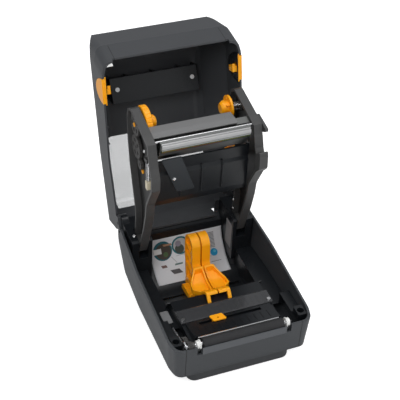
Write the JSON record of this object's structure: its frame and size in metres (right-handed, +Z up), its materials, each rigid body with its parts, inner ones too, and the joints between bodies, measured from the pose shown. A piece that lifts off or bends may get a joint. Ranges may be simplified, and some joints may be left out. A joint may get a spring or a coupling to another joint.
{
  "type": "label printer",
  "caption": "Desktop label printer with a hinged cover standing open, a ribbon carriage swung up on two side plates, centring roll holders, platen roller and drive.",
  "frame": {"origin": "on the surface that the printer stands on, below the middle of its width, 133.5 mm behind the front face", "axes": "+X to the printer's right as seen from the front, +Y to the back, +Z up"},
  "size_m": [0.2032, 0.3942, 0.335],
  "materials": {
    "housing_plastic": "fine spark texture",
    "inner_plastic": "semi-gloss moulded",
    "orange_plastic": "smooth",
    "clear_window": "polished clear",
    "smoky_clear": "polished, smoke tinted",
    "roller_rubber": "ground",
    "foot_rubber": "moulded",
    "steel": "turned or rolled",
    "sheet_steel": "zinc plated sheet",
    "dark_sheet": "black coated sheet",
    "head_aluminium": "as extruded",
    "gear_plastic": "moulded",
    "white_plastic": "moulded",
    "cream_plastic": "moulded",
    "board_green": "coated board",
    "key_plastic": "smooth"
  },
  "bodies": {
    "base": {"base_case": "housing_plastic", "front_panel": "housing_plastic", "front_bezel": "inner_plastic", "bottom_cover": "housing_plastic", "rubber_feet": "foot_rubber", "media_bay": "inner_plastic", "guide_bar": "smoky_clear", "guide_bar_screws": "steel", "guide_plate": "inner_plastic", "tear_bar": "steel", "platen_bushes": "white_plastic", "stepper_motor": "sheet_steel", "gear_frame": "sheet_steel", "corner_sockets": "inner_plastic", "hinge_blocks": "inner_plastic", "pivot_pins": "steel", "main_board": "board_green", "rear_sockets": "inner_plastic"},
    "media_sensor": {"media_sensor": "orange_plastic"},
    "platen": {"platen_roller": "roller_rubber", "platen_shaft": "steel", "platen_gear": "gear_plastic"},
    "drive_idler": {"drive_idler_gear": "gear_plastic"},
    "motor_rotor": {"motor_pinion": "steel"},
    "holder_left": {"roll_holder_left": "orange_plastic"},
    "holder_right": {"roll_holder_right": "orange_plastic"},
    "centring_pinion": {"centring_pinion": "gear_plastic"},
    "cover": {"cover_shell": "housing_plastic", "cover_window": "clear_window", "cover_inner_plate": "inner_plastic", "cover_screws": "steel", "status_lens": "white_plastic", "control_panel": "inner_plastic"},
    "power_button": {"power_button": "key_plastic"},
    "pause_button": {"pause_button": "key_plastic"},
    "feed_button": {"feed_button": "key_plastic"},
    "latch_left": {"latch_button_left": "orange_plastic"},
    "latch_right": {"latch_button_right": "orange_plastic"},
    "carriage": {"carriage_side_left": "inner_plastic", "carriage_side_right": "inner_plastic", "head_support": "dark_sheet", "carriage_tray": "inner_plastic", "sensor_flap": "inner_plastic", "ribbon_shield": "inner_plastic", "ribbon_guide_rod": "steel", "hub_springs": "steel", "pressure_spring": "steel", "pressure_block": "cream_plastic"},
    "printhead": {"printhead": "head_aluminium", "printhead_bracket": "dark_sheet"},
    "take_up_plunger": {"take_up_plunger": "steel"},
    "take_up_hub": {"take_up_hub": "orange_plastic"},
    "supply_plunger": {"supply_plunger": "steel"},
    "supply_hub": {"supply_hub": "orange_plastic"},
    "take_up": {"take_up_wheel": "orange_plastic", "take_up_gear": "gear_plastic"},
    "ribbon_idler": {"ribbon_idler_gear": "gear_plastic"},
    "ribbon_drive": {"ribbon_drive_gear": "gear_plastic"},
    "supply": {"supply_wheel": "orange_plastic"},
    "carriage_lever": {"carriage_lever": "inner_plastic"}
  },
  "joints": [
    {"name": "cover_hinge", "type": "hinge", "parent": "base", "child": "cover", "pos_m": [0, 0.111, 0.0946], "axis": [1, 0, 0], "range_deg": [0, 107.5]},
    {"name": "carriage_pivot", "type": "hinge", "parent": "base", "child": "carriage", "pos_m": [0, 0.0735, 0.0815], "axis": [1, 0, 0], "range_deg": [0, 77.7]},
    {"name": "platen_spin", "type": "hinge", "parent": "base", "child": "platen", "pos_m": [0, -0.125, 0.072], "axis": [1, 0, 0], "continuous": true},
    {"name": "drive_idler_spin", "type": "hinge", "parent": "base", "child": "drive_idler", "pos_m": [0, -0.11187, 0.05678], "axis": [1, 0, 0], "continuous": true},
    {"name": "motor_spin", "type": "hinge", "parent": "base", "child": "motor_rotor", "pos_m": [0, -0.10025, 0.04343], "axis": [1, 0, 0], "continuous": true},
    {"name": "media_sensor_slide", "type": "slide", "parent": "base", "child": "media_sensor", "axis": [1, 0, 0], "range_m": [-0.018, 0.054]},
    {"name": "holder_left_slide", "type": "slide", "parent": "base", "child": "holder_left", "axis": [-1, 0, 0], "range_m": [0, 0.045]},
    {"name": "holder_right_slide", "type": "slide", "parent": "base", "child": "holder_right", "axis": [1, 0, 0], "range_m": [0, 0.045]},
    {"name": "centring_pinion_turn", "type": "hinge", "parent": "base", "child": "centring_pinion", "pos_m": [0, 0.0235, 0.0067], "axis": [0, 0, -1], "range_deg": [0, 368.4]},
    {"name": "latch_left_press", "type": "slide", "parent": "cover", "child": "latch_left", "axis": [1, 0, 0], "range_m": [0, 0.0025], "stiffness_N_per_m": 400, "springref_m": -0.002},
    {"name": "latch_right_press", "type": "slide", "parent": "cover", "child": "latch_right", "axis": [-1, 0, 0], "range_m": [0, 0.0025], "stiffness_N_per_m": 400, "springref_m": -0.002},
    {"name": "power_press", "type": "slide", "parent": "cover", "child": "power_button", "axis": [0, -0.9967, -0.0813], "range_m": [0, 0.0008], "stiffness_N_per_m": 600, "springref_m": -0.0006},
    {"name": "pause_press", "type": "slide", "parent": "cover", "child": "pause_button", "axis": [0, -0.9967, -0.0813], "range_m": [0, 0.0008], "stiffness_N_per_m": 600, "springref_m": -0.0006},
    {"name": "feed_press", "type": "slide", "parent": "cover", "child": "feed_button", "axis": [0, -0.9967, -0.0813], "range_m": [0, 0.0008], "stiffness_N_per_m": 600, "springref_m": -0.0006},
    {"name": "take_up_plunger_slide", "type": "slide", "parent": "carriage", "child": "take_up_plunger", "axis": [1, 0, 0], "range_m": [0, 0.0075], "stiffness_N_per_m": 250, "springref_m": -0.004},
    {"name": "take_up_hub_spin", "type": "hinge", "parent": "take_up_plunger", "child": "take_up_hub", "pos_m": [0, 0.09812, 0.27224], "axis": [1, 0, 0], "continuous": true},
    {"name": "supply_plunger_slide", "type": "slide", "parent": "carriage", "child": "supply_plunger", "axis": [1, 0, 0], "range_m": [0, 0.0075], "stiffness_N_per_m": 250, "springref_m": -0.004},
    {"name": "supply_hub_spin", "type": "hinge", "parent": "supply_plunger", "child": "supply_hub", "pos_m": [0, 0.07498, 0.20981], "axis": [1, 0, 0], "continuous": true},
    {"name": "take_up_spin", "type": "hinge", "parent": "carriage", "child": "take_up", "pos_m": [0, 0.09812, 0.27224], "axis": [1, 0, 0], "continuous": true},
    {"name": "ribbon_idler_spin", "type": "hinge", "parent": "carriage", "child": "ribbon_idler", "pos_m": [0, 0.09222, 0.23997], "axis": [1, 0, 0], "continuous": true},
    {"name": "ribbon_drive_spin", "type": "hinge", "parent": "carriage", "child": "ribbon_drive", "pos_m": [0, 0.07692, 0.22148], "axis": [1, 0, 0], "continuous": true},
    {"name": "supply_spin", "type": "hinge", "parent": "carriage", "child": "supply", "pos_m": [0, 0.07498, 0.20981], "axis": [1, 0, 0], "continuous": true},
    {"name": "printhead_tilt", "type": "hinge", "parent": "carriage", "child": "printhead", "pos_m": [0, 0.04807, 0.25304], "axis": [-1, 0, 0], "range_deg": [0, 2.5], "stiffness_Nm_per_rad": 4, "springref_deg": -2.86},
    {"name": "carriage_lever_turn", "type": "hinge", "parent": "carriage", "child": "carriage_lever", "pos_m": [0, 0.04757, 0.27392], "axis": [1, 0, 0], "range_deg": [0, 25], "stiffness_Nm_per_rad": 0.02, "springref_deg": -11.46}
  ],
  "couplings": [
    {"joint": "carriage_pivot", "follows": "cover_hinge", "ratio": 0.72186},
    {"joint": "drive_idler_spin", "follows": "platen_spin", "ratio": -0.42553},
    {"joint": "motor_spin", "follows": "platen_spin", "ratio": 1.6667},
    {"joint": "holder_right_slide", "follows": "holder_left_slide", "ratio": 1},
    {"joint": "centring_pinion_turn", "follows": "holder_left_slide", "rad_per_m": 142.86},
    {"joint": "ribbon_idler_spin", "follows": "take_up_spin", "ratio": -0.95238},
    {"joint": "ribbon_drive_spin", "follows": "take_up_spin", "ratio": 2.2222}
  ]
}
